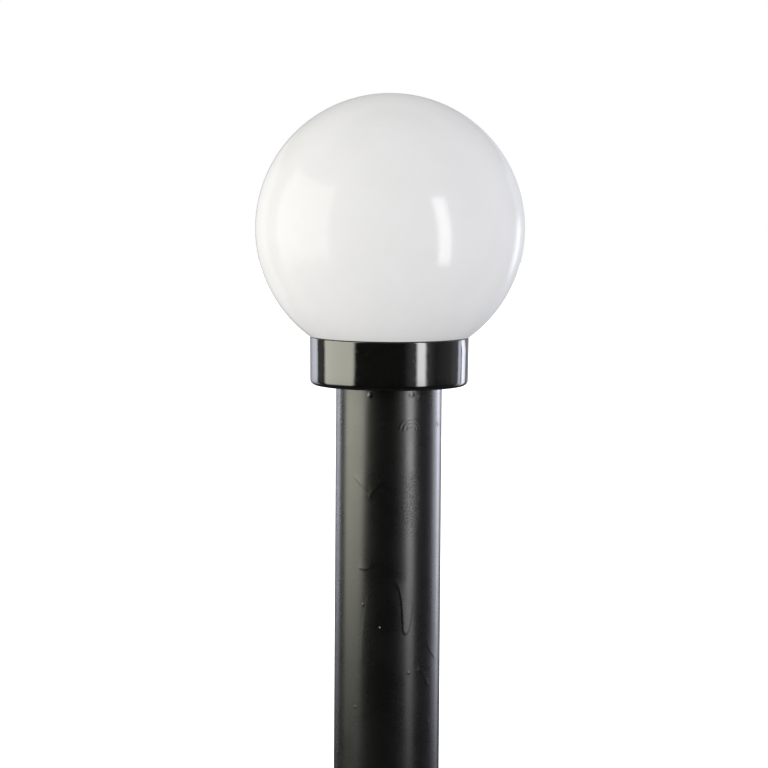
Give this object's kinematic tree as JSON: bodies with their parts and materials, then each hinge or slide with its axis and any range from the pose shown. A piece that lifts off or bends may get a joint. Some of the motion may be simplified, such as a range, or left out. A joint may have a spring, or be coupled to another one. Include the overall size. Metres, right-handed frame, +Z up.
{
  "type": "post top light",
  "caption": "Post top light: an opal globe twisted into a round black cup, on a round painted post with a bolted base plate.",
  "frame": {"origin": "centre of the base plate's underside, on the ground", "axes": "+Z up along the post, -Y towards the picture's viewer, +X to the viewer's right"},
  "size_m": [0.203, 0.203, 0.8],
  "materials": {
    "post_paint": "satin black paint with runs and sags",
    "cup_plastic": "high gloss, moulded",
    "opal": "glossy opal white",
    "rubber": "matt black",
    "zinc_steel": "zinc plated",
    "porcelain": "glazed white porcelain",
    "brass": "plain brass",
    "bronze": "spring bronze",
    "lamp_glass": "frosted glass with a metal screw cap",
    "terminal_plastic": "moulded, off-white",
    "tinned_copper": "tinned",
    "lead_brown": "brown insulation",
    "lead_blue": "blue insulation",
    "lead_green": "green and yellow insulation"
  },
  "bodies": {
    "root": {"base_plate": "post_paint", "base_weld": "post_paint", "post_tube": "post_paint", "end_disc": "zinc_steel", "collar_seal": "rubber", "collar_cup": "cup_plastic", "collar_screws": "zinc_steel", "collar_washers": "zinc_steel", "cable_grommet": "rubber", "globe_seal": "rubber", "globe": "opal", "lamp_bracket": "zinc_steel", "bracket_screws": "zinc_steel", "holder_body": "porcelain", "holder_screws": "zinc_steel", "screw_shell": "brass", "shell_screws": "brass", "centre_contact": "bronze", "holder_terminals": "brass", "holder_terminal_screws": "brass", "lamp": "lamp_glass", "terminal_block": "terminal_plastic", "terminal_barrels": "brass", "terminal_screws": "brass", "block_screws": "zinc_steel", "earth_tag": "tinned_copper", "earth_washer": "brass", "earth_screw": "brass", "lead_live": "lead_brown", "lead_neutral": "lead_blue", "lead_earth": "lead_green"}
  },
  "joints": []
}
